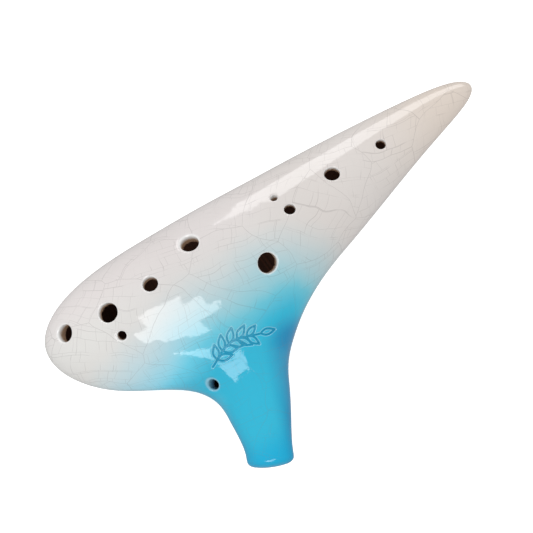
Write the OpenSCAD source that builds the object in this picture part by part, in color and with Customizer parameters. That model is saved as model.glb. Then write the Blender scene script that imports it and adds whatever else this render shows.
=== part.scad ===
// Twelve-hole transverse ocarina in glazed ceramic, lying on its back.
// +X runs to the tail tip, -Y to the mouth end, +Z out of the front face with the finger holes.
// Two press-moulded half shells meet on a flat joint and are luted with a layer of slip. A clay
// block fills a channel in the back shell and leaves the windway under it. The windway leads the
// breath across a window in the back to the sharp edge of the labium.
//
// Both shells follow one height function. For a place (x, y) it gives the square of the outer
// surface's height over the joint: the larger of a long body and a mouthpiece, with the valley
// between them filled by a smooth blend. Its zero line is the instrument's outline.
// Plan coordinates start at the round end, on a line through the tail tip.

/* [Body] */
// Length from the round end to the tail tip
body_l = 190; // [180:1:200]
// Radius of the plan at the round end
nose_r = 14; // [11:0.5:17]
// Radius of the plan at the tail tip
tail_r = 2.4; // [1.8:0.1:3.5]
// Body width one fifth of the way to the tail
width_1 = 53; // [49:0.5:55]
// Body width two fifths of the way to the tail
width_2 = 52.5; // [49:0.5:55]
// Body width three fifths of the way to the tail
width_3 = 41.5; // [39:0.5:44]
// Body width four fifths of the way to the tail
width_4 = 25.5; // [23:0.5:28]
// Sideways place of the centre line at the round end
centre_0 = -6.5; // [-8:0.5:-4]
// Sideways place of the centre line one fifth of the way to the tail
centre_1 = -13; // [-15:0.25:-11]
// Sideways place of the centre line two fifths of the way to the tail
centre_2 = -13; // [-15:0.25:-11]
// Sideways place of the centre line three fifths of the way to the tail
centre_3 = -9; // [-11:0.25:-7]
// Sideways place of the centre line four fifths of the way to the tail
centre_4 = -3.5; // [-5:0.25:-2]
// Depth of each half of the body, as a share of its half width
body_depth = 0.85; // [0.8:0.01:0.92]
// Wall thickness of the chamber
wall = 5.5; // [4.5:0.1:6]
// Solid clay at the tail end of the chamber
tail_solid = 9; // [7:0.5:16]

/* [Mouthpiece] */
// Place of the mouth end along the body
mouth_x = 50.7; // [46:0.1:54]
// Sideways place of the mouth end
mouth_y = -85; // [-88:0.5:-82]
// Direction in which the mouthpiece enters the body, from +X towards +Y
lean = 66; // [62:1:72]
// Length over which the mouthpiece widens
mouth_l = 60; // [56:1:64]
// Width at the mouth end
mouth_w0 = 19.5; // [18:0.5:22]
// Width one third of the way through the widening
mouth_w1 = 19.5; // [18.5:0.5:21]
// Width two thirds of the way through the widening
mouth_w2 = 26; // [24:0.5:28]
// Width where the widening ends inside the body
mouth_w3 = 29; // [26:0.5:32]
// Distance from the mouth end at which the mouthpiece starts to fade into the body
fade_start = 46; // [42:1:50]
// Thickness of the mouthpiece, as a share of its width
mouth_depth = 0.72; // [0.65:0.01:0.8]
// Length over which the mouth end is rounded
mouth_cap = 5.5; // [4:0.5:8]
// Reach of the blend between body and mouthpiece
fillet = 34; // [28:1:36]

/* [Windway and window] */
// Direction of the windway, from +X towards +Y
windway_lean = 71; // [70:0.5:72]
// Length of the windway from the mouth end to the window
windway_l = 48; // [47:0.5:49]
// Width of the windway at the mouth end
windway_w = 10.5; // [9.5:0.5:11]
// Width of the windway's exit, the window and the labium
window_w = 9; // [8:0.5:9.5]
// Height of the windway at the mouth end
windway_h = 3.2; // [3:0.1:3.4]
// Height of the windway's exit
exit_h = 1.2; // [1:0.1:1.4]
// Depth of the windway's exit floor behind the joint
exit_depth = 10; // [9.5:0.1:10.2]
// Length of the window, from the windway's exit to the labium's edge
window_l = 5.5; // [5:0.1:6]
// Length of the labium, from its edge to its root in the wall
labium_l = 10; // [9.5:0.5:10.5]
// Slope of the labium's outer ramp
ramp_angle = 36; // [35:1:38]
// Slope of the labium's underside
under_angle = 22; // [20:1:23]
// Where the windway block begins, from the mouth end
block_start = 12; // [11:0.5:14]

/* [Finger holes: along the body, sideways, diameter] */
// Left index finger
left_index = [10, -1, 6.6]; // [-20:0.1:190]
// Left middle finger
left_middle = [28.4, -2.8, 7.5]; // [-20:0.1:190]
// Sub-hole of the left middle finger
left_sub = [28.4, -13.2, 3.6]; // [-20:0.1:190]
// Left ring finger
left_ring = [47.6, -1.7, 6]; // [-20:0.1:190]
// Left little finger
left_pinky = [68, 4, 7.2]; // [-20:0.1:190]
// Right index finger
right_index = [89.5, -18, 7.4]; // [-20:0.1:190]
// Right middle finger
right_middle = [107, -4.8, 4.4]; // [-20:0.1:190]
// Sub-hole of the right middle finger
right_sub = [104, 2, 2.8]; // [-20:0.1:190]
// Right ring finger
right_ring = [127.5, -1.5, 6]; // [-20:0.1:190]
// Right little finger
right_pinky = [149, -1.5, 4]; // [-20:0.1:190]

/* [Back and strap holes] */
// Left thumb: along the body, sideways, diameter
left_thumb = [44, -16, 9]; // [-20:0.1:190]
// Right thumb: along the body, sideways, diameter
right_thumb = [110, -9, 8]; // [-20:0.1:190]
// Strap hole where it meets the front surface: along the body, sideways, diameter
strap = [48, -46.5, 4]; // [-60:0.1:190]
// Lean of the strap hole towards the windway
strap_lean = 16; // [14:1:18]

/* [Joint] */
// Thickness of the layer of slip between the half shells
slip_t = 0.5; // [0.4:0.1:0.8]

/* [Colours] */
// Glaze
cream = "#E6DED4"; // [#E6DED4, #F2EEE6, #D8CBB8]
// Bare clay inside
clay = "#C9B79F"; // [#C9B79F, #B08D6E, #8E6B50]

/* [Hidden] */

spokes = 120;         // spokes of the shell mesh, from one point inside the outline
rings = 14;           // rings of the shell mesh, closer together towards the outline
trace_step = 1;       // degrees between the points that measure the outline's length
hub = [71.5, -23.5];  // the point that sees the whole outline
far = 130;            // further from the hub than any point of the outline
halvings = 26;        // bisection steps when finding the outline
probe = 0.01;         // step for slopes of the surface
joint_z = slip_t / 2; // height of each shell's flat joint face
drill_out = 8;        // how far a drill starts outside the surface
drill_in = 9;         // how far a drill goes below the surface
beyond = 40;          // past any surface of the instrument
over = 2;             // overrun of a cut past a face

FINGERS = [left_index, left_middle, left_sub, left_ring, left_pinky,
           right_index, right_middle, right_sub, right_ring, right_pinky];
THUMBS = [left_thumb, right_thumb];

// ---- one smooth curve through values that stand at equal steps, at t from 0 to 1 ----
function product(v, i = 0) = i == len(v) ? 1 : v[i] * product(v, i + 1);
function share(i, n, t) = product([for (j = [0 : n]) if (j != i) (t * n - j) / (i - j)]);
function through(v, t) =
    let (n = len(v) - 1)
    [for (i = [0 : n]) v[i] * share(i, n, t)] * [for (i = [0 : n]) 1];

// ---- plan of the body: an ellipse whose half width changes along its length ----
// Half width that the ellipse would need to give width w at station t
function needed(w, t) = w / (4 * sqrt(t * (1 - t)));
function end_half(r) = sqrt(r * body_l / 2);
HALVES = [end_half(nose_r), needed(width_1, 0.2), needed(width_2, 0.4),
          needed(width_3, 0.6), needed(width_4, 0.8), end_half(tail_r)];
CENTRES = [centre_0, centre_1, centre_2, centre_3, centre_4, 0];

function clamped(t) = min(max(t, 0), 1);
function half_at(x) = through(HALVES, clamped(x / body_l));
function centre_at(x) = through(CENTRES, clamped(x / body_l));
function body_u(x, y) =
    let (t = x / body_l, off = y - centre_at(x))
    body_depth ^ 2 * (4 * t * (1 - t) * half_at(x) ^ 2 - off ^ 2);

// The chamber keeps the wall's thickness inside the body
function chamber_u(x, y) =
    let (t = (x - wall) / (body_l - wall - tail_solid), off = y - centre_at(x))
    body_depth ^ 2 * (4 * t * (1 - t) * (half_at(x) - wall) ^ 2 - off ^ 2);

// ---- mouthpiece: v runs from the mouth end along its axis, w across it ----
MOUTH_WIDTHS = [mouth_w0, mouth_w1, mouth_w2, mouth_w3];
MOUTH_BOW = [0, 0.5, 2.5, 4];  // how far its centre line bows towards the round end
mouth_fade = 0.5;              // how fast it fades out inside the body
function mouth_v(x, y) = (x - mouth_x) * cos(lean) + (y - mouth_y) * sin(lean);
function mouth_side(x, y) = (y - mouth_y) * cos(lean) - (x - mouth_x) * sin(lean);
function eased(t) = t * (2 - t);  // stops without a kink
function cap_share(v) = v < mouth_cap ? 1 - abs(1 - v / mouth_cap) ^ 4 : 1;
function mouth_u(x, y) =
    let (v = mouth_v(x, y), s = eased(clamped(v / mouth_l)), faded = max(v - fade_start, 0))
    let (half = through(MOUTH_WIDTHS, s) / 2, off = mouth_side(x, y) - through(MOUTH_BOW, s))
    mouth_depth ^ 2 * (half ^ 2 * cap_share(v) - off ^ 2 - mouth_fade * faded ^ 2);

// ---- outer surface ----
function blend(a, b) =
    let (k = fillet ^ 2, near = max(k - abs(a - b), 0) / k)
    max(a, b) + near ^ 3 * k / 6;
function outer_u(x, y) = blend(body_u(x, y), mouth_u(x, y));
function height(u) = joint_z + sqrt(max(u, 0));
function outer_z(x, y) = height(outer_u(x, y));

// ---- outlines, seen from the hub ----
function on_ray(a, r) = hub + r * [cos(a), sin(a)];
function is_inside(p, outer) = (outer ? outer_u(p.x, p.y) : chamber_u(p.x, p.y)) > 0;
function reach(a, outer, lo = 0, hi = far, n = halvings) =
    n == 0 ? lo
    : is_inside(on_ray(a, (lo + hi) / 2), outer) ? reach(a, outer, (lo + hi) / 2, hi, n - 1)
    : reach(a, outer, lo, (lo + hi) / 2, n - 1);

// Spokes end at equal steps along the outline, so the narrow tail gets its share of them
TRACE = [for (a = [0 : trace_step : 360]) on_ray(a, reach(a, true))];
STEPS = [for (i = [1 : len(TRACE) - 1]) norm(TRACE[i] - TRACE[i - 1])];
TRAVEL = [for (i = 0, sum = 0; i <= len(STEPS); sum = sum + (i < len(STEPS) ? STEPS[i] : 0), i = i + 1)
          [sum, i * trace_step]];
outline_l = TRAVEL[len(TRAVEL) - 1][0];
ANGLES = [for (i = [0 : spokes - 1]) lookup(i * outline_l / spokes, TRAVEL)];
OUTER_REACH = [for (a = ANGLES) reach(a, true)];
INNER_REACH = [for (a = ANGLES) reach(a, false)];

// ---- shell mesh: an outer dome and the chamber's dome, joined by the flat joint face ----
function dome(reaches, outer) = [
    for (j = [1 : rings], i = [0 : spokes - 1])
        let (p = on_ray(ANGLES[i], reaches[i] * sin(90 * j / rings)))
        [p.x, p.y, j == rings ? joint_z : height(outer ? outer_u(p.x, p.y) : chamber_u(p.x, p.y))]];
OUTER_DOME = dome(OUTER_REACH, true);
INNER_DOME = dome(INNER_REACH, false);
OUTER_TOP = [hub.x, hub.y, outer_z(hub.x, hub.y)];
INNER_TOP = [hub.x, hub.y, height(chamber_u(hub.x, hub.y))];

dome_n = rings * spokes;
function corner(first, j, i) = first + (j - 1) * spokes + i % spokes;
// Faces of a dome whose ring points start at first and whose top is point top, seen from above
function dome_faces(first, top) = concat(
    [for (i = [0 : spokes - 1]) [top, corner(first, 1, i + 1), corner(first, 1, i)]],
    [for (j = [1 : rings - 1], i = [0 : spokes - 1])
        [corner(first, j, i), corner(first, j, i + 1), corner(first, j + 1, i + 1)]],
    [for (j = [1 : rings - 1], i = [0 : spokes - 1])
        [corner(first, j, i), corner(first, j + 1, i + 1), corner(first, j + 1, i)]]);
function turned(faces) = [for (f = faces) [f[2], f[1], f[0]]];
function joint_faces(outer, inner) = [
    for (i = [0 : spokes - 1])
        [corner(outer, rings, i), corner(outer, rings, i + 1),
         corner(inner, rings, i + 1), corner(inner, rings, i)]];

module half_shell() {
    inner = dome_n;
    polyhedron(
        points = concat(OUTER_DOME, INNER_DOME, [OUTER_TOP, INNER_TOP]),
        faces = concat(dome_faces(0, 2 * dome_n), turned(dome_faces(inner, 2 * dome_n + 1)),
                       joint_faces(0, inner)));
}

// ---- holes drilled square to the outer surface of the front half ----
function slope_x(x, y) = (outer_z(x + probe, y) - outer_z(x - probe, y)) / (2 * probe);
function slope_y(x, y) = (outer_z(x, y + probe) - outer_z(x, y - probe)) / (2 * probe);
module drilled(hole) {
    sx = slope_x(hole.x, hole.y);
    sy = slope_y(hole.x, hole.y);
    translate([hole.x, hole.y, outer_z(hole.x, hole.y)])
        rotate([0, atan(norm([sx, sy])), atan2(-sy, -sx)])
        translate([0, 0, -drill_in])
        cylinder(h = drill_in + drill_out, d = hole.z, $fn = 48);
}

// ---- frames with x from the middle of the mouth end into the body, y across and z as before ----
module from_mouth(direction) {
    translate([mouth_x, mouth_y, 0])
        rotate([0, 0, direction])
        children();
}
module in_windway() {
    from_mouth(windway_lean) children();
}

// The strap hole leans across the mouthpiece, so it comes out nearer to the windway at the back
module strap_drill() {
    side = mouth_side(strap.x, strap.y);
    translate([0, 0, outer_z(strap.x, strap.y)])
        from_mouth(lean)
        translate([mouth_v(strap.x, strap.y), side, 0])
        rotate([-strap_lean, 0, 0])
        translate([0, 0, -beyond])
        cylinder(h = 2 * beyond, d = strap.z, $fn = 48);
}

// Extrudes a profile of [distance from the mouth end, height] across the windway
module across(profile, w) {
    rotate([90, 0, 0])
        linear_extrude(height = w, center = true)
        polygon(profile);
}

// Plan of the windway, narrowing from the mouth end to its exit
module windway_plan() {
    linear_extrude(height = 2 * beyond, center = true)
        polygon([[-over, -windway_w / 2], [windway_l, -window_w / 2],
                 [windway_l, window_w / 2], [-over, windway_w / 2]]);
}

// ---- windway and window, as heights behind the joint at a distance v from the mouth end ----
exit_roof = exit_depth - exit_h;
function floor_z(v) = -windway_h / 2 - (exit_depth - windway_h / 2) * v / windway_l;
function roof_z(v) = windway_h / 2 - (exit_roof + windway_h / 2) * v / windway_l;
edge_v = windway_l + window_l;
edge_z = -exit_depth + exit_h / 2;
root_v = edge_v + labium_l;
function ramp_z(v) = edge_z - (v - edge_v) * tan(ramp_angle);
function under_z(v) = edge_z - (v - edge_v) * tan(under_angle);

// Everything between the windway's floor and roof, from outside the mouth end
WINDWAY = [[-over, floor_z(-over)], [windway_l, floor_z(windway_l)],
           [windway_l, roof_z(windway_l)], [-over, roof_z(-over)]];
// The open channel in the back shell, up to the joint
CHANNEL = [[-over, floor_z(-over)], [windway_l, floor_z(windway_l)], [windway_l, 0], [-over, 0]];
// The throat under the window and the labium, which opens into the chamber
THROAT = [[windway_l, 0], [windway_l, floor_z(windway_l)], [edge_v, edge_z],
          [root_v, under_z(root_v)], [root_v, 0]];
// The window and the ramp that leads out of it
WINDOW = [[windway_l, floor_z(windway_l)], [windway_l, -beyond],
          [root_v + beyond, -beyond], [root_v + beyond, ramp_z(root_v + beyond)], [edge_v, edge_z]];
// The socket in the back shell that holds the labium
SOCKET = [[edge_v, edge_z], [root_v, ramp_z(root_v)], [root_v, under_z(root_v)]];

module channel() {
    intersection() {
        across(CHANNEL, windway_w + 2 * over);
        windway_plan();
    }
}

// ---- whole instrument: bottom of the box at z = 0, its middle at x = y = 0 ----
function lowest(k) = min([for (p = OUTER_DOME) p[k]]);
function highest(k) = max([for (p = OUTER_DOME) p[k]]);
half_h = max(highest(2), OUTER_TOP.z);
shift = [-(lowest(0) + highest(0)) / 2, -(lowest(1) + highest(1)) / 2, half_h];
module placed() {
    translate(shift)
        children();
}

module front_shell() {
    color(cream)
        placed()
        difference() {
            half_shell();
            for (hole = FINGERS) drilled(hole);
            strap_drill();
            in_windway() across(WINDWAY, windway_w);
        }
}

module back_shell() {
    color(cream)
        placed()
        difference() {
            mirror([0, 0, 1]) half_shell();
            for (hole = THUMBS) mirror([0, 0, 1]) drilled(hole);
            strap_drill();
            in_windway() {
                channel();
                across(THROAT, window_w);
                across(WINDOW, window_w);
                across(SOCKET, window_w);
            }
        }
}

// The slip keeps clear of the chamber, of the windway where it crosses the joint and of the throat
module slip_seam() {
    windway_v = windway_l * (windway_h / 2 + joint_z) / (exit_roof + windway_h / 2);
    color(clay)
        placed()
        difference() {
            linear_extrude(height = slip_t, center = true)
                difference() {
                    polygon([for (i = [0 : spokes - 1]) on_ray(ANGLES[i], OUTER_REACH[i])]);
                    polygon([for (i = [0 : spokes - 1]) on_ray(ANGLES[i], INNER_REACH[i])]);
                }
            strap_drill();
            in_windway() {
                translate([-over, -windway_w / 2, -slip_t])
                    cube([windway_v + over, windway_w, 2 * slip_t]);
                translate([windway_l, -window_w / 2, -slip_t])
                    cube([labium_l + window_l, window_w, 2 * slip_t]);
            }
        }
}

module windway_block() {
    color(clay)
        placed()
        in_windway()
        intersection() {
            across([[block_start, roof_z(block_start)], [windway_l, roof_z(windway_l)],
                    [windway_l, -joint_z], [block_start, -joint_z]], windway_w + 2 * over);
            windway_plan();
        }
}

module labium() {
    color(cream)
        placed()
        in_windway()
        across(SOCKET, window_w);
}

front_shell();
back_shell();
slip_seam();
windway_block();
labium();
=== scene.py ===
"""Looks of a twelve-hole transverse ocarina in crackled, airbrushed glaze.

The two half shells and the slip between them are one carved solid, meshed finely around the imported
CAD model and then split at the joint. Lengths below are in millimetres, in the plan coordinates of
the design: x runs from the round end to the tail tip, y across, z up from the joint. The frame says
where that plan lies, and the finished meshes are in metres.
"""

import math

import bmesh
import bpy
import numpy as np
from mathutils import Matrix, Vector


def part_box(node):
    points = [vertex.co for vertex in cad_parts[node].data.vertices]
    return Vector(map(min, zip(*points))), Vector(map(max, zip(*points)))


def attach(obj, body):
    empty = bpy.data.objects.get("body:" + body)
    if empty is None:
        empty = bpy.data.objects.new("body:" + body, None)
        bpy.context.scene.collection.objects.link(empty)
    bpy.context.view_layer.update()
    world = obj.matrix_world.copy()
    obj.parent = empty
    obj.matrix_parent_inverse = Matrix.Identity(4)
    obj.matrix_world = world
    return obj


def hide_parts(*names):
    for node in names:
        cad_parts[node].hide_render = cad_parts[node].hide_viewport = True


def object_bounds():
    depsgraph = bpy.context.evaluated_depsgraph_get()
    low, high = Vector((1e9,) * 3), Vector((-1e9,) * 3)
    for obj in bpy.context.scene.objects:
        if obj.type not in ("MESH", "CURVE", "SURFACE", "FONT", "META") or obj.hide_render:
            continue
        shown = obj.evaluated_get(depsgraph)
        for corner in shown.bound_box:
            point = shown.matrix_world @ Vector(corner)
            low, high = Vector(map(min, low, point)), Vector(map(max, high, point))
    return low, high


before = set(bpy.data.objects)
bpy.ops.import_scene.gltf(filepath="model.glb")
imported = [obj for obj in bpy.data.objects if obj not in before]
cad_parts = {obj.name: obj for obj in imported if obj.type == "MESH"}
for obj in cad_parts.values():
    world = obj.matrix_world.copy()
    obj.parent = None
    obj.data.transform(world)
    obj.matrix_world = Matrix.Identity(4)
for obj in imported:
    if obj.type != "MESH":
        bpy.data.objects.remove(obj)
cad_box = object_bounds()

# ---- body ----
BODY_L = 190.0
NOSE_R = 14.0
TAIL_R = 2.4
WIDTHS = (53.0, 52.5, 41.5, 25.5)
CENTRES = (-6.5, -13.0, -13.0, -9.0, -3.5, 0.0)
BODY_DEPTH = 0.85
WALL = 5.5
TAIL_SOLID = 9.0
JOINT_Z = 0.25

# ---- mouthpiece ----
MOUTH = (50.7, -85.0)
LEAN = math.radians(66)
MOUTH_L = 60.0
MOUTH_WIDTHS = (19.5, 19.5, 26.0, 29.0)
MOUTH_BOW = (0.0, 0.5, 2.5, 4.0)
FADE_START = 46.0
MOUTH_FADE = 0.5
MOUTH_DEPTH = 0.72
MOUTH_CAP = 5.5
FILLET = 34.0

# ---- windway and window ----
WINDWAY_LEAN = math.radians(71)
WINDWAY_L = 48.0
WINDWAY_W = 10.5
WINDOW_W = 9.0
WINDWAY_H = 3.2
EXIT_H = 1.2
EXIT_DEPTH = 10.0
WINDOW_L = 5.5
LABIUM_L = 10.0
RAMP = math.tan(math.radians(36))
UNDER = math.tan(math.radians(22))

# ---- holes ----
# Along the body, sideways, diameter, radius of the rim, and how much of the diameter a hand-cut
# hole keeps across its long axis
FINGER_HOLES = (
    (10, -1, 6.6, 1.3, 1.0),
    (28.4, -2.8, 7.5, 1.1, 1.0),
    (28.4, -13.2, 3.6, 1.1, 1.0),
    (47.6, -1.7, 6, 1.1, 0.96),
    (68, 4, 7.2, 1.6, 0.88),
    (89.5, -18, 7.4, 1.1, 1.06),
    (107, -4.8, 4.4, 0.8, 0.88),
    (104, 2, 2.8, 0.6, 0.9),
    (127.5, -1.5, 6, 0.9, 0.84),
    (149, -1.5, 4, 0.7, 0.9),
)
THUMB_HOLES = (
    (44, -16, 9, 1.0, 1.0),
    (110, -9, 8, 1.0, 1.0),
)
LONG_AXIS = math.radians(-31)
STRAP = (48, -46.5)
STRAP_D = 4.0
STRAP_RIM = 1.6
STRAP_LEAN = math.radians(16)
SLOT_RIM = 0.6
WINDOW_RIM = 0.5
DRILL_IN = 9.0
DRILL_OUT = 8.0

# ---- mesh ----
CELL = 0.8
REFINEMENTS = 2
# Steps for slopes, and how near a surface counts as on it
PROBE = 0.01
NEAR = 0.02
# Walls of holes are meshed finely down to this depth
RIM_DEPTH = 2.5
# A corner whose face leans further from the field's slope than this cosine keeps the face's normal
SHARP = 0.55
# The sheet that cracks are drawn on: extra width on the flanks, and the back shell's shift
FLANK_SPREAD = 0.45
BACK_SHEET = 300.0
MM = 0.001
FAR = 100.0


# ---- heights over the joint, squared, as the design has them ----
def through(values, t):
    """The smooth curve through values that stand at equal steps, at t from 0 to 1."""
    n = len(values) - 1
    total = 0
    for i, value in enumerate(values):
        share = 1.0
        for j in range(n + 1):
            if j != i:
                share = share * (t * n - j) / (i - j)
        total = total + value * share
    return total


def needed(width, t):
    """The half width that an ellipse as long as the body has when it is this wide at t."""
    return width / (4 * math.sqrt(t * (1 - t)))


def end_half(radius):
    return math.sqrt(radius * BODY_L / 2)


HALVES = (
    end_half(NOSE_R),
    *(needed(width, 0.2 * (i + 1)) for i, width in enumerate(WIDTHS)),
    end_half(TAIL_R),
)


def body_u(x, y):
    t = x / BODY_L
    along = np.clip(t, 0, 1)
    off = y - through(CENTRES, along)
    return BODY_DEPTH**2 * (4 * t * (1 - t) * through(HALVES, along) ** 2 - off**2)


def chamber_u(x, y):
    t = (x - WALL) / (BODY_L - WALL - TAIL_SOLID)
    along = np.clip(x / BODY_L, 0, 1)
    off = y - through(CENTRES, along)
    half = through(HALVES, along) - WALL
    return BODY_DEPTH**2 * (4 * t * (1 - t) * half**2 - off**2)


def turned(x, y, direction):
    """Distances from the mouth end along a direction and to its left."""
    dx, dy = x - MOUTH[0], y - MOUTH[1]
    c, s = math.cos(direction), math.sin(direction)
    return dx * c + dy * s, dy * c - dx * s


def mouth_u(x, y):
    v, side = turned(x, y, LEAN)
    s = np.clip(v / MOUTH_L, 0, 1)
    s = s * (2 - s)
    half = through(MOUTH_WIDTHS, s) / 2
    off = side - through(MOUTH_BOW, s)
    cap = np.where(v < MOUTH_CAP, 1 - np.abs(1 - v / MOUTH_CAP) ** 4, 1)
    faded = np.maximum(v - FADE_START, 0)
    return MOUTH_DEPTH**2 * (half**2 * cap - off**2 - MOUTH_FADE * faded**2)


def outer_u(x, y):
    a, b = body_u(x, y), mouth_u(x, y)
    k = FILLET**2
    near = np.maximum(k - np.abs(a - b), 0) / k
    return np.maximum(a, b) + near**3 * k / 6


def outer_z(x, y):
    return JOINT_Z + math.sqrt(max(float(outer_u(x, y)), 0))


# ---- incised sprig on the front, between the body and the mouthpiece ----
SPRIG = (62.5, -38.5)
SPRIG_TURN = math.radians(4)
SPRIG_L = 22.0
SPRIG_BOW = 2.2
LEAF_L = 6.4
LEAF_W = 2.6
LEAF_LEAN = math.radians(42)
GROOVE_W = 0.42
GROOVE_DEPTH = 0.65
CURVE_STEPS = 16


def stem_point(t):
    """Place on the stem and its direction, at t from 0 to 1."""
    x = SPRIG_L * (t - 0.5)
    y = SPRIG_BOW * math.sin(math.pi * (1.5 * t - 0.25))
    slope = SPRIG_BOW * 1.5 * math.pi / SPRIG_L * math.cos(math.pi * (1.5 * t - 0.25))
    return np.array([x, y]), math.atan(slope)


def leaf(root, direction, size):
    """A leaf's outline from its root round its tip and back, as two shallow arcs."""
    line = []
    c, s = math.cos(direction), math.sin(direction)
    for i in range(2 * CURVE_STEPS + 1):
        t = 1 - abs(1 - i / CURVE_STEPS)
        side = 1 if i < CURVE_STEPS else -1
        along = LEAF_L * t
        across = side * LEAF_W / 2 * math.sin(math.pi * t) * (1.25 - 0.5 * t)
        line.append(root + size * np.array([along * c - across * s, along * s + across * c]))
    return line


def sprig_lines():
    """The sprig's strokes as polylines in plan coordinates."""
    strokes = [[stem_point(i / (2 * CURVE_STEPS))[0] for i in range(2 * CURVE_STEPS + 1)]]
    for n, t in enumerate((0.14, 0.3, 0.46, 0.62, 0.78)):
        root, direction = stem_point(t)
        for side in (1, -1):
            size = 0.78 + 0.22 * math.sin(math.pi * (t + 0.1)) - (0.06 if side > 0 else 0)
            strokes.append(leaf(root, direction + side * LEAF_LEAN, size))
    root, direction = stem_point(1.0)
    strokes.append(leaf(root, direction, 0.85))
    c, s = math.cos(SPRIG_TURN), math.sin(SPRIG_TURN)
    turn = np.array([[c, s], [-s, c]])
    return [np.array(stroke) @ turn + SPRIG for stroke in strokes]


SPRIG_LINES = sprig_lines()
SPRIG_REACH = SPRIG_L * 0.9


def groove(x, y, z):
    """How deep in the sprig's grooves a point is, from 0 to 1."""
    x, y, z = np.broadcast_arrays(x, y, z)
    depth = np.zeros(x.shape)
    near = (np.hypot(x - SPRIG[0], y - SPRIG[1]) < SPRIG_REACH) & (z > 0)
    px, py = x[near], y[near]
    squared = np.full(px.shape, FAR)
    for stroke in SPRIG_LINES:
        for (x0, y0), (x1, y1) in zip(stroke[:-1], stroke[1:]):
            dx, dy = x1 - x0, y1 - y0
            t = np.clip(((px - x0) * dx + (py - y0) * dy) / (dx * dx + dy * dy), 0, 1)
            squared = np.minimum(squared, (px - x0 - t * dx) ** 2 + (py - y0 - t * dy) ** 2)
    depth[near] = np.exp(-squared / GROOVE_W**2)
    return depth


# ---- the carved solid, as a field in millimetres that is positive inside the clay ----
def skin(height_u, x, y, z):
    """Distance into the shape that a squared height over the joint describes."""
    u = height_u(x, y)
    ux = (height_u(x + PROBE, y) - height_u(x - PROBE, y)) / (2 * PROBE)
    uy = (height_u(x, y + PROBE) - height_u(x, y - PROBE)) / (2 * PROBE)
    rise = np.maximum(np.abs(z) - JOINT_Z, 0)
    return (u - rise**2) / np.sqrt(ux**2 + uy**2 + 4 * rise**2 + PROBE)


def round_min(a, b, r):
    """The smaller of two fields, with an edge of radius r where they meet."""
    return np.maximum(r, np.minimum(a, b)) - np.hypot(np.maximum(r - a, 0), np.maximum(r - b, 0))


def bored(solid, x, y, z, point, axis, radius, rim, low, high, kept=1.0):
    """The solid without a hole along an axis through a point, from low to high along it."""
    dx, dy, dz = x - point[0], y - point[1], z - point[2]
    along = dx * axis[0] + dy * axis[1] + dz * axis[2]
    px, py = dx - along * axis[0], dy - along * axis[1]
    across = py * math.cos(LONG_AXIS) - px * math.sin(LONG_AXIS)
    squeeze = (1 / kept**2 - 1) * across**2
    from_axis = np.sqrt(np.maximum(dx**2 + dy**2 + dz**2 - along**2 + squeeze, 0))
    outside = np.maximum(from_axis - radius, np.maximum(low - along, along - high))
    return round_min(solid, outside, rim)


def drill(x, y, side):
    """A hole's point on the surface and its axis out of it, on the front (1) or the back (-1)."""
    sx = (outer_z(x + PROBE, y) - outer_z(x - PROBE, y)) / (2 * PROBE)
    sy = (outer_z(x, y + PROBE) - outer_z(x, y - PROBE)) / (2 * PROBE)
    axis = np.array([-sx, -sy, 1.0]) / math.sqrt(sx * sx + sy * sy + 1)
    return (x, y, side * outer_z(x, y)), axis * (1, 1, side)


def strap_axis():
    """Direction of the strap hole, up and away from the mouth end."""
    return (
        -math.sin(LEAN) * math.sin(STRAP_LEAN),
        math.cos(LEAN) * math.sin(STRAP_LEAN),
        math.cos(STRAP_LEAN),
    )


def strap_exit():
    """Where the strap hole comes out on the back, in the plan."""
    axis = strap_axis()
    fall = 2 * outer_z(*STRAP) / axis[2]
    return STRAP[0] - fall * axis[0], STRAP[1] - fall * axis[1]


EXIT_ROOF = EXIT_DEPTH - EXIT_H
EDGE_V = WINDWAY_L + WINDOW_L
EDGE_Z = -EXIT_DEPTH + EXIT_H / 2
ROOT_V = EDGE_V + LABIUM_L


def floor_z(v):
    return -WINDWAY_H / 2 - (EXIT_DEPTH - WINDWAY_H / 2) * v / WINDWAY_L


def roof_z(v):
    return WINDWAY_H / 2 - (EXIT_ROOF + WINDWAY_H / 2) * v / WINDWAY_L


def ramp_z(v):
    return EDGE_Z - (v - EDGE_V) * RAMP


def under_z(v):
    return EDGE_Z - (v - EDGE_V) * UNDER


def inside_profile(v, z, corners):
    """Distance into a convex profile of (v, z) corners given counterclockwise."""
    depth = FAR
    for (v0, z0), (v1, z1) in zip(corners, corners[1:] + corners[:1]):
        length = math.hypot(v1 - v0, z1 - z0)
        depth = np.minimum(depth, ((z - z0) * (v1 - v0) - (v - v0) * (z1 - z0)) / length)
    return depth


OVER = 3.0
WINDWAY = [(-OVER, floor_z(-OVER)), (WINDWAY_L, floor_z(WINDWAY_L)),
           (WINDWAY_L, roof_z(WINDWAY_L)), (-OVER, roof_z(-OVER))]
CHANNEL = [(-OVER, floor_z(-OVER)), (WINDWAY_L, floor_z(WINDWAY_L)),
           (WINDWAY_L, -JOINT_Z), (-OVER, -JOINT_Z)]
THROAT = [(WINDWAY_L, floor_z(WINDWAY_L)), (EDGE_V, EDGE_Z), (ROOT_V, under_z(ROOT_V)),
          (ROOT_V, JOINT_Z), (WINDWAY_L, JOINT_Z)]
WINDOW = [(WINDWAY_L, -FAR), (ROOT_V + FAR, -FAR), (ROOT_V + FAR, ramp_z(ROOT_V + FAR)),
          (EDGE_V, EDGE_Z), (WINDWAY_L, floor_z(WINDWAY_L))]
SOCKET = [(EDGE_V, EDGE_Z), (ROOT_V, ramp_z(ROOT_V)), (ROOT_V, under_z(ROOT_V))]


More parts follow.
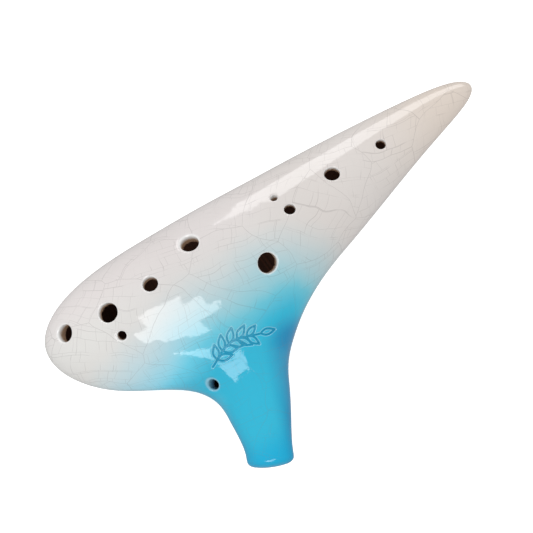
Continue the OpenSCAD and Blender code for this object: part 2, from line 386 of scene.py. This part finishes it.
def without_windway(solid, x, y, z):
    v, w = turned(x, y, WINDWAY_LEAN)
    taper = np.clip(v / WINDWAY_L, 0, 1)
    narrow = (WINDWAY_W + (WINDOW_W - WINDWAY_W) * taper) / 2 - np.abs(w)
    window_side = WINDOW_W / 2 - np.abs(w)
    windway = np.minimum(inside_profile(v, z, WINDWAY), narrow)
    window = np.minimum(inside_profile(v, z, WINDOW), window_side)
    solid = round_min(solid, -windway, SLOT_RIM)
    solid = round_min(solid, -window, WINDOW_RIM)
    channel = np.minimum(inside_profile(v, z, CHANNEL), narrow)
    throat = np.minimum(inside_profile(v, z, THROAT), window_side)
    socket = np.minimum(inside_profile(v, z, SOCKET), window_side)
    return np.minimum(solid, -np.maximum(channel, np.maximum(throat, socket)))


def clay_field(x, y, z, carved=True):
    solid = skin(outer_u, x, y, z)
    if carved:
        solid = solid - GROOVE_DEPTH * groove(x, y, z)
    for side, holes in ((1, FINGER_HOLES), (-1, THUMB_HOLES)):
        for hole_x, hole_y, diameter, rim, kept in holes:
            point, axis = drill(hole_x, hole_y, side)
            solid = bored(solid, x, y, z, point, axis, diameter / 2, rim, -DRILL_IN, DRILL_OUT, kept)
    point = (*STRAP, outer_z(*STRAP))
    solid = bored(solid, x, y, z, point, strap_axis(), STRAP_D / 2, STRAP_RIM, -FAR, FAR)
    solid = without_windway(solid, x, y, z)
    return np.minimum(solid, -skin(chamber_u, x, y, z))


def gradient(points):
    """Field and gradient at points."""
    x, y, z = points.T
    slopes = [
        clay_field(x + PROBE * dx, y + PROBE * dy, z + PROBE * dz)
        - clay_field(x - PROBE * dx, y - PROBE * dy, z - PROBE * dz)
        for dx, dy, dz in np.eye(3)
    ]
    return clay_field(x, y, z), np.stack(slopes, 1) / (2 * PROBE)


# ---- mesh of the field's zero surface ----
def surface_net(axes, values):
    """Vertices and quads of the zero surface, one vertex for each cell that it crosses."""
    inside = values > 0
    shape = tuple(n - 1 for n in values.shape)
    total = np.zeros(shape + (3,))
    count = np.zeros(shape)
    crossings = []
    for a in range(3):
        first = [slice(None)] * 3
        second = [slice(None)] * 3
        first[a] = slice(0, -1)
        second[a] = slice(1, None)
        f0, f1 = values[tuple(first)], values[tuple(second)]
        i, j, k = np.nonzero(inside[tuple(first)] != inside[tuple(second)])
        t = f0[i, j, k] / (f0[i, j, k] - f1[i, j, k])
        index = np.stack([i, j, k], 1)
        point = np.stack([axes[n][index[:, n]] for n in range(3)], 1)
        point[:, a] += t * (axes[a][1] - axes[a][0])
        b, c = (a + 1) % 3, (a + 2) % 3
        cells = []
        for db, dc in ((-1, -1), (0, -1), (0, 0), (-1, 0)):
            cell = index.copy()
            cell[:, b] += db
            cell[:, c] += dc
            cells.append(np.ravel_multi_index(cell.T, shape, mode="clip"))
            np.add.at(total.reshape(-1, 3), cells[-1], point)
            np.add.at(count.reshape(-1), cells[-1], 1)
        crossings.append((np.stack(cells, 1), inside[tuple(first)][i, j, k]))
    used = np.flatnonzero(count.reshape(-1))
    number = np.full(count.size, -1)
    number[used] = np.arange(len(used))
    points = total.reshape(-1, 3)[used] / count.reshape(-1)[used, None]
    quads = []
    for cells, leaving in crossings:
        quad = number[cells]
        quads.append(np.where(leaving[:, None], quad, quad[:, ::-1]))
    return points, np.concatenate(quads)


def split_quads(points, quads):
    """Two triangles a quad, along its shorter diagonal."""
    a, b, c, d = quads.T
    one, two = (np.linalg.norm(points[m] - points[n], axis=1) for m, n in ((a, c), (b, d)))
    short = one < two
    one = np.where(short[:, None], np.stack([a, b, c], 1), np.stack([a, b, d], 1))
    two = np.where(short[:, None], np.stack([a, c, d], 1), np.stack([b, c, d], 1))
    return np.concatenate([one, two])


def settled(points, rounds=3, reach=CELL / 2):
    """Points moved onto the zero surface."""
    for _ in range(rounds):
        value, slope = gradient(points)
        step = slope * (value / np.maximum((slope**2).sum(1), 0.1))[:, None]
        size = np.linalg.norm(step, axis=1)
        points = points - step * np.minimum(1, reach / np.maximum(size, 1e-9))[:, None]
    return points


def edges_of(triangles):
    """Unique edges, and each triangle's three of them."""
    pairs = np.concatenate([triangles[:, [0, 1]], triangles[:, [1, 2]], triangles[:, [2, 0]]])
    pairs.sort(axis=1)
    edges, which = np.unique(pairs, axis=0, return_inverse=True)
    return edges, which.reshape(3, -1).T


def relaxed(points, triangles):
    """Points moved halfway to the mean of their neighbours."""
    edges, _ = edges_of(triangles)
    total = np.zeros_like(points)
    count = np.zeros(len(points))
    for a, b in ((0, 1), (1, 0)):
        np.add.at(total, edges[:, a], points[edges[:, b]])
        np.add.at(count, edges[:, a], 1)
    return (points + total / np.maximum(count, 1)[:, None]) / 2


def refined(points, triangles, chosen):
    """Splits the chosen triangles in four and their neighbours to match."""
    edges, sides = edges_of(triangles)
    cut = np.zeros(len(edges), bool)
    cut[sides[chosen].reshape(-1)] = True
    middle = np.full(len(edges), -1)
    middle[cut] = len(points) + np.arange(cut.sum())
    points = np.concatenate([points, points[edges[cut]].mean(1)])
    cuts = cut[sides]
    out = [triangles[cuts.sum(1) == 0]]
    for turn in range(3):
        a, b, c = (triangles[:, (n + turn) % 3] for n in range(3))
        ab, bc, ca = (middle[sides[:, (n + turn) % 3]] for n in range(3))
        is_cut = [cuts[:, (n + turn) % 3] for n in range(3)]
        one = is_cut[0] & ~is_cut[1] & ~is_cut[2]
        out += [np.stack([a, ab, c], 1)[one], np.stack([ab, b, c], 1)[one]]
        two = is_cut[0] & is_cut[1] & ~is_cut[2]
        out += [np.stack(t, 1)[two] for t in ((a, ab, c), (ab, bc, c), (ab, b, bc))]
        if turn == 0:
            all_cut = is_cut[0] & is_cut[1] & is_cut[2]
            quarters = ((a, ab, ca), (ab, b, bc), (ca, bc, c), (ab, bc, ca))
            out += [np.stack(t, 1)[all_cut] for t in quarters]
    return points, np.concatenate(out)


def near_rims(points, triangles):
    """Triangles in the sprig's grooves or on the holes' rims and outer walls."""
    x, y, z = points.T
    depth = skin(outer_u, x, y, z)
    rim = (np.abs(depth) > NEAR) & (np.abs(skin(chamber_u, x, y, z)) > NEAR) & (depth < RIM_DEPTH)
    return (rim | (groove(x, y, z) > NEAR))[triangles].any(1)


def span(low, high):
    """Grid places from low to high with room beyond both."""
    return np.arange(low - 2 * CELL, high + 3 * CELL, CELL)


def highest_y():
    """The plan's highest place, on the edge of the body away from the mouthpiece."""
    x = np.linspace(0.15, 0.5, 301) * BODY_L
    low, high = np.full(x.shape, CENTRES[1]), np.full(x.shape, WIDTHS[0])
    for _ in range(30):
        mid = (low + high) / 2
        out = outer_u(x, mid) <= 0
        low, high = np.where(out, low, mid), np.where(out, mid, high)
    return float(low.max())


def shell_mesh():
    """Points and triangles of the whole carved solid, in plan coordinates."""
    low, high = cad_box
    far_y = highest_y()
    half_z = (high[2] - low[2]) / (2 * MM)
    axes = [span(0, BODY_L), span(far_y - (high[1] - low[1]) / MM, far_y), span(-half_z, half_z)]
    grid = clay_field(axes[0][:, None, None], axes[1][None, :, None], axes[2][None, None, :], False)
    points, quads = surface_net(axes, grid)
    triangles = split_quads(points, quads)
    points = settled(points)
    for _ in range(2):
        points = settled(relaxed(points, triangles), 2)
    for _ in range(REFINEMENTS):
        points, triangles = refined(points, triangles, near_rims(points, triangles))
        points = settled(points, 2)
    return points, triangles


# ---- pieces, in metres in the frame ----
def plan_origin():
    """Where the plan's zero point at the joint's height lies in the frame, in metres."""
    low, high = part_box("slip_seam")
    return np.array([high[0] - BODY_L * MM, high[1] - highest_y() * MM, (low[2] + high[2]) / 2])


def cut_piece(mesh, name, low, high):
    """The part of a mesh between two heights in metres, closed with flat caps."""
    solid = bmesh.new()
    solid.from_mesh(mesh)
    for height, up in ((high, 1), (low, -1)):
        if height is None:
            continue
        everything = solid.verts[:] + solid.edges[:] + solid.faces[:]
        cut = bmesh.ops.bisect_plane(solid, geom=everything, dist=1e-8, plane_co=(0, 0, height),
                                     plane_no=(0, 0, up), clear_outer=True)
        rim = [e for e in cut["geom_cut"] if isinstance(e, bmesh.types.BMEdge)]
        bmesh.ops.triangle_fill(solid, use_beauty=True, edges=rim, normal=(0, 0, up))
    piece = bpy.data.meshes.new(name)
    solid.to_mesh(piece)
    solid.free()
    return piece


def unrolled(x, y, z):
    """Places spread sideways on the flanks, so that cracks keep their spacing round the body. The
    back shell's places lie on a sheet of their own."""
    ux = (outer_u(x + PROBE, y) - outer_u(x - PROBE, y)) / (2 * PROBE)
    uy = (outer_u(x, y + PROBE) - outer_u(x, y - PROBE)) / (2 * PROBE)
    flat = np.hypot(ux, uy) + PROBE
    steep = 1 - 2 * np.abs(z) / np.hypot(flat, 2 * z)
    t = np.clip(x / BODY_L, 0, 1)
    half = 2 * np.sqrt(t * (1 - t)) * through(HALVES, t)
    spread = FLANK_SPREAD * half * steep / flat
    sheet = BACK_SHEET if z.min() < -2 * JOINT_Z else 0
    return np.stack([x - spread * ux, y - spread * uy + sheet, np.zeros(x.shape)], 1)


def dressed(mesh, origin):
    """Adds the masks that the glaze reads and smooth normals taken from the field."""
    count = len(mesh.vertices)
    places = np.empty(count * 3, np.float32)
    mesh.vertices.foreach_get("co", places)
    points = (places.reshape(-1, 3).astype(float) - origin) / MM
    x, y, z = points.T
    _, slope = gradient(points)
    smooth = -slope / np.maximum(np.linalg.norm(slope, axis=1), 1e-9)[:, None]
    masks = {"depth": skin(outer_u, x, y, z), "groove": groove(x, y, z)}
    for name, values in masks.items():
        mask = mesh.attributes.new(name, "FLOAT", "POINT")
        mask.data.foreach_set("value", values.astype(np.float32))
    sheet = mesh.attributes.new("sheet", "FLOAT_VECTOR", "POINT")
    sheet.data.foreach_set("vector", unrolled(x, y, z).astype(np.float32).ravel())
    corners = np.empty(len(mesh.loops), np.int32)
    mesh.loops.foreach_get("vertex_index", corners)
    faces = np.empty(len(mesh.polygons) * 3, np.float32)
    mesh.polygons.foreach_get("normal", faces)
    sizes = np.empty(len(mesh.polygons), np.int32)
    mesh.polygons.foreach_get("loop_total", sizes)
    flat = np.repeat(faces.reshape(-1, 3), sizes, axis=0)
    normals = smooth[corners]
    sharp = (normals * flat).sum(1) < SHARP
    normals[sharp] = flat[sharp]
    mesh.polygons.foreach_set("use_smooth", np.ones(len(mesh.polygons), bool))
    mesh.normals_split_custom_set(normals)
    return mesh


def build_shells(glaze):
    """The carved solid, cut at the joint into the three pieces that stand for the CAD's shells."""
    origin = plan_origin()
    points, triangles = shell_mesh()
    whole = bpy.data.meshes.new("whole")
    whole.from_pydata((points * MM + origin).tolist(), [], triangles.tolist())
    low, high = origin[2] - JOINT_Z * MM, origin[2] + JOINT_Z * MM
    for name, node, bottom, top in (
        ("glazed_front", "front_shell", high, None),
        ("glazed_back", "back_shell", None, low),
        ("luted_seam", "slip_seam", low, high),
    ):
        mesh = dressed(cut_piece(whole, name, bottom, top), origin)
        mesh.materials.append(glaze)
        piece = bpy.data.objects.new(name, mesh)
        bpy.context.scene.collection.objects.link(piece)
        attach(piece, "root")
        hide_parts(node)
        print(name, len(mesh.polygons), "faces")
    bpy.data.meshes.remove(whole)


# ---- materials ----
# Colours as sRGB from 0 to 255
# The cream's steps along the body are painted light and shade: lightest at the round end, darker towards
# the tail and tip.
LIT_CREAM_END = (228, 227, 224)
CREAM_MIDDLE = (217, 215, 213)
CREAM_FAR_SIDE = (226, 219, 218)
SHADED_CREAM_TAIL = (219, 213, 209)
SHADED_CREAM_TIP = (218, 205, 193)
CLOUD = (150, 140, 130)
# The light blue is brighter towards the round end as painted light.
LIT_SKY_END = (120, 222, 248)
SKY_MIDDLE = (118, 200, 216)
DEEP_BLUE = (47, 184, 216)
# Deeper blue on one side, darker there also as painted shade.
DEEP_SHADED_SIDE_BLUE = (0, 124, 180)
MOUTH_BLUE = (0, 169, 214)
# Painted shade low on the flanks.
SHADED_FLANK_BLUE = (10, 92, 150)
CRACK_DIRT = (104, 94, 94)
# Painted highlight on the holes' rims; lighter and darker blues on and in the grooves, partly painted
# light and shade.
RIM_HIGHLIGHT_WHITE = (252, 252, 251)
THIN_AND_LIT_BLUE = (196, 234, 242)
POOLED_AND_SHADED_BLUE = (10, 104, 156)
CLAY_DARK = (160, 130, 104)
CLAY_LIGHT = (192, 160, 132)
BLOCK_DARK = (104, 78, 60)
BLOCK_LIGHT = (142, 110, 86)
# Painted light: a faint glow deep down the holes.
PAINTED_INSIDE_GLOW = (27, 17, 13)
# Lines in the plan that the blue was sprayed along, and the darker side, whose deeper blue is partly
# painted shade
BLUE_ACROSS = ((24, -52), (86, -40))
BLUE_ALONG = ((60, -50), (52, -96))
SIDE_LINE = ((83, -50), (67, -92))
# Warps of the crack pattern: lump size and reach in millimetres
WARPS = ((26.0, 13.0), (8.0, 1.5))
# Long cracks: cell size and half width in millimetres, irregularity
LONG_CRACKS = (24.0, 0.15, 0.9)
# Short cracks that end on longer ones: length, spacing and width in millimetres, strength
SHORT_CRACKS = (
    (14.0, 8.6, 0.28, 0.95),
    (6.2, 4.6, 0.24, 0.75),
)


class Shader:
    """Adds nodes to a new material, or to a world, one call a node."""

    def __init__(self, name, kind="Material"):
        self.kind = kind
        self.owner = (bpy.data.materials if kind == "Material" else bpy.data.worlds).new(name)
        self.owner.use_nodes = True
        self.tree = self.owner.node_tree
        self.tree.nodes.clear()

    def add(self, kind, inputs=(), **settings):
        node = self.tree.nodes.new("ShaderNode" + kind)
        for name, value in settings.items():
            setattr(node, name, value)
        for key, value in dict(inputs).items():
            if isinstance(value, bpy.types.NodeSocket):
                self.tree.links.new(value, node.inputs[key])
            else:
                node.inputs[key].default_value = value
        return node

    def math(self, operation, *values, clamp=False):
        return self.add("Math", enumerate(values), operation=operation, use_clamp=clamp).outputs[0]

    def vector(self, operation, a, b):
        return self.add("VectorMath", {0: a, 1: b}, operation=operation).outputs[0]

    def scaled(self, a, factor):
        return self.add("VectorMath", {0: a, "Scale": factor}, operation="SCALE").outputs[0]

    def parts(self, place):
        """A place's x, y and z."""
        return tuple(self.add("SeparateXYZ", {0: place}).outputs)

    def step(self, value, low, high, out_low=0.0, out_high=1.0):
        """A smooth step of value from low to high."""
        inputs = {"Value": value, "From Min": low, "From Max": high,
                  "To Min": out_low, "To Max": out_high}
        return self.add("MapRange", inputs, interpolation_type="SMOOTHSTEP").outputs[0]

    def mix(self, share, a, b):
        """Colour a with a share of colour b, by the sockets of a colour mix."""
        return self.add("Mix", {0: share, 6: a, 7: b}, data_type="RGBA").outputs[2]

    def noise(self, where, size, detail=2.0):
        """Noise from 0 to 1 with lumps of a size in millimetres."""
        return self.add("TexNoise", {"Vector": where, "Scale": 1 / size, "Detail": detail}).outputs["Fac"]

    def attribute(self, name, output="Fac"):
        return self.add("Attribute", attribute_name=name).outputs[output]

    def millimetres(self):
        """Places in plan coordinates."""
        here = self.add("TexCoord").outputs["Object"]
        return self.scaled(self.vector("SUBTRACT", here, tuple(plan_origin())), 1 / MM)

    def dimmed(self, strength, sheen):
        """A strength of light, or another one where the glaze mirrors it."""
        mirrored = self.add("LightPath").outputs["Is Glossy Ray"]
        change = self.math("MULTIPLY", mirrored, self.math("SUBTRACT", sheen, strength))
        return self.math("ADD", strength, change)

    def finish(self, surface):
        self.add("Output" + self.kind, {"Surface": surface})
        return self.owner


def colour(red, green, blue):
    """A colour given in sRGB from 0 to 255, made linear."""
    parts = [c / 255 for c in (red, green, blue)]
    return tuple(c / 12.92 if c <= 0.04045 else ((c + 0.055) / 1.055) ** 2.4 for c in parts) + (1.0,)


def capsule(sh, where, start, end, radius=0.0):
    """Distance of a place from a line between two plan points."""
    flat = sh.vector("MULTIPLY", where, (1, 1, 0))
    a = (*start, 0.0)
    axis = (end[0] - start[0], end[1] - start[1], 0.0)
    squared = axis[0] ** 2 + axis[1] ** 2
    offset = sh.vector("SUBTRACT", flat, a)
    along = sh.add("VectorMath", {0: offset, 1: axis}, operation="DOT_PRODUCT").outputs["Value"]
    share = sh.math("DIVIDE", along, squared, clamp=True)
    foot = sh.add("VectorMath", {0: axis, "Scale": share}, operation="SCALE").outputs[0]
    apart = sh.add("VectorMath", {0: sh.vector("SUBTRACT", offset, foot)}, operation="LENGTH")
    return sh.math("SUBTRACT", apart.outputs["Value"], radius)


def blue_share(sh, where):
    """How much of the airbrushed blue lies over the cream glaze, from 0 to 1."""
    cloud = sh.math("MULTIPLY", sh.math("SUBTRACT", sh.noise(where, 22.0, 3.0), 0.5), 9.0)
    across = capsule(sh, where, *BLUE_ACROSS, 2.0)
    along = capsule(sh, where, *BLUE_ALONG, 9.5)
    distance = sh.math("ADD", sh.math("SMOOTH_MIN", across, along, 8.0), cloud)
    fade = sh.math("SUBTRACT", 1.0, sh.math("DIVIDE", distance, 36.0, clamp=True))
    return sh.math("POWER", fade, 1.5)


def crackle(sh, where):
    """Fine cracks in the glaze: long ones first, then shorter ones that end on them."""
    place = where
    for lump, reach in WARPS:
        warp = sh.add("TexNoise", {"Vector": where, "Scale": 1 / lump, "Detail": 1.0}).outputs["Color"]
        place = sh.vector("ADD", place, sh.scaled(sh.vector("SUBTRACT", warp, (0.5, 0.5, 0.5)), reach))
    size, width, randomness = LONG_CRACKS
    inputs = {"Vector": place, "Scale": 1 / size, "Randomness": randomness}
    edge = sh.add("TexVoronoi", inputs, feature="DISTANCE_TO_EDGE", voronoi_dimensions="2D")
    lines = sh.step(sh.math("MULTIPLY", edge.outputs["Distance"], size), width, 0.0)
    cell = sh.add("TexVoronoi", inputs, feature="F1", voronoi_dimensions="2D").outputs["Color"]
    turn = sh.math("MULTIPLY", sh.add("SeparateColor", {"Color": cell}).outputs[0], 0.9)
    place = sh.vector("ADD", place, sh.scaled(cell, 40.0))
    place = sh.add("VectorRotate", {"Vector": place, "Angle": turn}, rotation_type="Z_AXIS").outputs[0]
    for length, spacing, width, strength in SHORT_CRACKS:
        inputs = {"Vector": place, "Scale": 1.0, "Mortar Size": width / 2, "Mortar Smooth": 1.0,
                  "Brick Width": length, "Row Height": spacing}
        grid = sh.add("TexBrick", inputs, offset=0.37, squash=0.8).outputs["Fac"]
        shown = sh.step(sh.noise(place, 9.0, 1.0), 0.4, 0.52, 0.15, strength)
        lines = sh.math("MAXIMUM", sh.math("MULTIPLY", grid, shown), lines)
    return lines


def cream_glaze(sh, where, x, y):
    """Off-white, pinkish on the far side and yellowish at the tip, with painted light and shade: whitest
    at the round end and darker towards the tail.
    """
    # Painted light and shade: lightest at the round end, darker along the tail.
    cream = sh.mix(sh.step(x, 5.0, 60.0), colour(*LIT_CREAM_END), colour(*CREAM_MIDDLE))
    pink = sh.math("MULTIPLY", sh.step(y, -10.0, 8.0), 0.8)
    cream = sh.mix(pink, cream, colour(*CREAM_FAR_SIDE))
    cream = sh.mix(sh.step(x, 70.0, 125.0, 0.0, 0.9), cream, colour(*SHADED_CREAM_TAIL))
    cream = sh.mix(sh.step(x, 135.0, 180.0, 0.0, 0.8), cream, colour(*SHADED_CREAM_TIP))
    cloud = sh.step(sh.noise(where, 34.0, 3.0), 0.3, 0.7, 0.0, 0.05)
    return sh.mix(cloud, cream, colour(*CLOUD))


def airbrushed(sh, where, cream, blue):
    """The cream with blue laid over it, deeper by the mouth and on one side, with painted light and
    shade: the light blue brighter towards the round end, and darker blue on that side and low on the
    flanks.
    """
    x, y, z = sh.parts(where)
    # Painted light: the light blue is brighter towards the round end.
    sky = sh.mix(sh.step(x, 25.0, 75.0), colour(*LIT_SKY_END), colour(*SKY_MIDDLE))
    light = sh.mix(sh.math("MULTIPLY", blue, 1.6, clamp=True), cream, sky)
    glazed = sh.mix(sh.step(blue, 0.45, 1.0), light, colour(*DEEP_BLUE))
    # Deeper blue on the side towards the tail, darker there also as painted shade.
    side = sh.math("MULTIPLY", sh.step(capsule(sh, where, *SIDE_LINE), 14.0, 3.0), blue)
    glazed = sh.mix(sh.math("MULTIPLY", side, 0.95), glazed, colour(*DEEP_SHADED_SIDE_BLUE))
    end = sh.math("MULTIPLY", sh.step(y, -70.0, -84.0), blue)
    glazed = sh.mix(sh.math("MULTIPLY", end, 0.8), glazed, colour(*MOUTH_BLUE))
    # Painted shade: darker blue low on the flanks, near the joint.
    low = sh.step(sh.math("ABSOLUTE", z), 7.0, 0.0)
    low = sh.math("MULTIPLY", low, sh.math("MULTIPLY", blue, 0.4))
    return sh.mix(low, glazed, colour(*SHADED_FLANK_BLUE))


def cracks_and_painted_light(sh, glazed, blue, cracks, depth, groove_mask):
    """Cracks with dirt in them, a painted highlight in white on the holes' rims, and in the sprig's
    grooves a lighter blue on their edges, as thinner glaze and painted highlight, and a darker blue down
    their middles, as glaze gathered there and painted shade.
    """
    shown = sh.math("MULTIPLY", cracks, sh.step(blue, 0.6, 1.0, 0.33, 0.22))
    glazed = sh.mix(shown, glazed, colour(*CRACK_DIRT))
    # Painted highlight: white on the holes' rims, strongest on the cream.
    painted_rim_highlight = sh.math("MULTIPLY", sh.step(depth, 0.02, 0.6), sh.step(groove_mask, 0.2, 0.0))
    painted_rim_highlight = sh.math("MULTIPLY", painted_rim_highlight, sh.step(blue, 0.1, 0.9, 0.85, 0.3))
    glazed = sh.mix(painted_rim_highlight, glazed, colour(*RIM_HIGHLIGHT_WHITE))
    # Lighter blue on the grooves' edges, thinner glaze and painted highlight; darker blue down their
    # middles, glaze gathered there and painted shade.
    thin_and_lit = sh.math("MULTIPLY", sh.step(groove_mask, 0.01, 0.16), sh.step(groove_mask, 0.5, 0.2))
    glazed = sh.mix(sh.math("MULTIPLY", thin_and_lit, 0.35), glazed, colour(*THIN_AND_LIT_BLUE))
    pooled_and_shaded = sh.math("MULTIPLY", sh.step(groove_mask, 0.3, 0.9), 0.4)
    return sh.mix(pooled_and_shaded, glazed, colour(*POOLED_AND_SHADED_BLUE))


def unglazed(sh, where, depth):
    """Where clay lies bare, from 0 to 1: down the holes, but not in the strap hole."""
    ragged = sh.math("ADD", depth, sh.math("MULTIPLY", sh.noise(where, 1.6, 2.0), 1.6))
    off_strap = sh.step(capsule(sh, where, STRAP, strap_exit()), 2.7, 3.0)
    return sh.math("MULTIPLY", sh.step(ragged, 2.3, 4.2), off_strap)


def glaze_bump(sh, where, cracks, grain, bare):
    """Slow ripples, orange peel that fades towards the tail, fine cracks, and gritty bare clay."""
    x = sh.parts(where)[0]
    ripple = sh.math("MULTIPLY", sh.noise(where, 12.0, 2.0), 0.1)
    peel = sh.math("MULTIPLY", sh.noise(where, 3.4, 2.0), sh.step(x, 92.0, 70.0, 0.008, 0.075))
    height = sh.math("ADD", ripple, peel)
    height = sh.math("SUBTRACT", height, sh.math("MULTIPLY", cracks, 0.006))
    height = sh.math("ADD", height, sh.math("MULTIPLY", sh.math("MULTIPLY", grain, bare), 0.08))
    return sh.add("Bump", {"Strength": 1.0, "Distance": MM, "Height": height}).outputs[0]


def glaze_material(name, cracked=True):
    sh = Shader(name)
    where = sh.millimetres()
    depth = sh.attribute("depth")
    x, y, _ = sh.parts(where)
    blue = blue_share(sh, where)
    glazed = airbrushed(sh, where, cream_glaze(sh, where, x, y), blue)
    cracks = crackle(sh, sh.attribute("sheet", "Vector")) if cracked else 0.0
    glazed = cracks_and_painted_light(sh, glazed, blue, cracks, depth, sh.attribute("groove"))
    grain = sh.noise(where, 0.8, 3.0)
    bare = unglazed(sh, where, depth)
    clay = sh.mix(grain, colour(*CLAY_DARK), colour(*CLAY_LIGHT))
    # Painted light: the bare clay deep down the holes glows faintly dark brown.
    inside = sh.math("MULTIPLY", sh.step(depth, 4.0, 8.0), bare)
    surface = sh.add("BsdfPrincipled", {
        "Base Color": sh.mix(bare, glazed, clay),
        "Roughness": sh.math("MAXIMUM", sh.math("MULTIPLY", bare, 0.75), 0.05),
        "IOR": 1.5,
        "Normal": glaze_bump(sh, where, cracks, grain, bare),
        "Emission Color": colour(*PAINTED_INSIDE_GLOW),
        "Emission Strength": inside,
    })
    return sh.finish(surface.outputs[0])


def clay_material():
    sh = Shader("bare_clay")
    where = sh.millimetres()
    grain = sh.noise(where, 0.7, 4.0)
    base = sh.mix(grain, colour(*BLOCK_DARK), colour(*BLOCK_LIGHT))
    bump = sh.add("Bump", {"Strength": 0.8, "Distance": 0.1 * MM, "Height": grain}).outputs[0]
    surface = sh.add("BsdfPrincipled", {"Base Color": base, "Roughness": 0.8, "Normal": bump})
    return sh.finish(surface.outputs[0])


def floor_material():
    """Pale and a little luminous, and clear from below so that the underside can be seen."""
    sh = Shader("pale_floor")
    pale = sh.add("BsdfDiffuse", {"Color": FLOOR_PALE}).outputs[0]
    glow = sh.add("Emission", {"Strength": FLOOR_GLOW}).outputs[0]
    both = sh.add("AddShader", {0: pale, 1: glow}).outputs[0]
    bounce = sh.add("Emission", {"Strength": sh.dimmed(FLOOR_BOUNCE, FLOOR_SHEEN)}).outputs[0]
    seen = sh.add("LightPath").outputs["Is Camera Ray"]
    above = sh.add("MixShader", {0: seen, 1: bounce, 2: both}).outputs[0]
    behind = sh.add("NewGeometry").outputs["Backfacing"]
    clear = sh.add("BsdfTransparent").outputs[0]
    return sh.finish(sh.add("MixShader", {0: behind, 1: above, 2: clear}).outputs[0])


# ---- floor, light and camera ----
FLOOR_SIZE = 6.0
FLOOR_PALE = (0.82, 0.82, 0.82, 1.0)
FLOOR_DROP = 0.0003
FLOOR_GLOW = 0.62
FLOOR_BOUNCE = 0.62
FLOOR_SHEEN = 0.45
WORLD_LIGHT = 1.05
WORLD_SHEEN = 0.4
BRIGHT_SIDE = (-0.02, 0.17, 0.0)
CAMERA_UP = 2.0
CAMERA_TURN = math.radians(-31)
FRAME_WIDTH = 0.2018
AIM = (-0.0067, 0.0177)
SENSOR = 36.0
# Panes of a window close over the body, as left, near, right and far edges in metres
PANE_LIGHT = 4.5
PANE_UP = 0.095
PANES = (
    (-0.082, -0.012, -0.07, 0.014),
    (-0.07, -0.026, -0.056, 0.036),
    (-0.056, -0.033, -0.042, 0.034),
    (-0.042, -0.01, -0.032, 0.02),
    (-0.032, -0.009, -0.025, 0.002),
    (-0.082, -0.1, -0.06, -0.066),
    (-0.06, -0.085, -0.03, -0.068),
)
# Long soft lights beyond the tail, as two corners in metres
SIDE_LIGHT = 3.6
SIDE_STRIP = ((0.1, 0.46, 0.34), (1.0, 1.4, 0.34))
SIDE_BOARD = ((0.13, 1.4, 0.0), (1.6, 1.4, 0.34))


def build_floor():
    bpy.ops.mesh.primitive_plane_add(size=FLOOR_SIZE, location=(0, 0, -FLOOR_DROP))
    floor = bpy.context.object
    floor.name = "floor"
    floor.data.materials.append(floor_material())


def build_world():
    """White all round, brighter on one side, and dimmer where the glaze mirrors it."""
    sh = Shader("studio", "World")
    away = sh.add("TexCoord").outputs["Generated"]
    side = sh.add("VectorMath", {0: away, 1: BRIGHT_SIDE}, operation="DOT_PRODUCT").outputs["Value"]
    lit = sh.math("MULTIPLY", sh.math("ADD", side, 1.0), WORLD_LIGHT)
    sky = sh.add("Background", {"Color": (1, 1, 1, 1), "Strength": sh.dimmed(lit, WORLD_SHEEN)})
    bpy.context.scene.world = sh.finish(sky.outputs[0])


def panel(name, low, high, radiance):
    """A light that only reflections show: a box without height or depth, given by two corners in
    metres. Without height it hangs level, without depth it stands upright and faces -Y."""
    size = [b - a for a, b in zip(low, high)]
    level = size[2] == 0
    light = bpy.data.lights.new(name, "AREA")
    light.shape = "RECTANGLE"
    light.size = size[0]
    light.size_y = size[1] if level else size[2]
    light.energy = radiance * math.pi * light.size * light.size_y
    lamp = bpy.data.objects.new(name, light)
    lamp.location = [(a + b) / 2 for a, b in zip(low, high)]
    lamp.rotation_euler = (0 if level else -math.pi / 2, 0, 0)
    lamp.visible_camera = False
    lamp.visible_diffuse = False
    bpy.context.scene.collection.objects.link(lamp)


def build_camera():
    low, high = cad_box
    data = bpy.data.cameras.new("camera")
    data.sensor_width = SENSOR
    data.lens = SENSOR * CAMERA_UP / FRAME_WIDTH
    camera = bpy.data.objects.new("camera", data)
    camera.location = (*AIM, (low[2] + high[2]) / 2 + CAMERA_UP)
    camera.rotation_euler = (0, 0, CAMERA_TURN)
    bpy.context.scene.collection.objects.link(camera)
    bpy.context.scene.camera = camera


def dress_node(node, material):
    """Gives a CAD node that stays in view its material."""
    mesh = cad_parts[node].data
    mesh.materials.clear()
    mesh.materials.append(material)


def main():
    build_shells(glaze_material("crackle_glaze"))
    dress_node("windway_block", clay_material())
    dress_node("labium", glaze_material("plain_glaze", False))
    build_floor()
    build_world()
    for n, (left, near, right, far) in enumerate(PANES):
        panel(f"pane_{n}", (left, near, PANE_UP), (right, far, PANE_UP), PANE_LIGHT)
    panel("side_strip", *SIDE_STRIP, SIDE_LIGHT)
    panel("side_board", *SIDE_BOARD, SIDE_LIGHT)
    build_camera()
    bpy.context.scene.view_settings.view_transform = "Standard"


main()
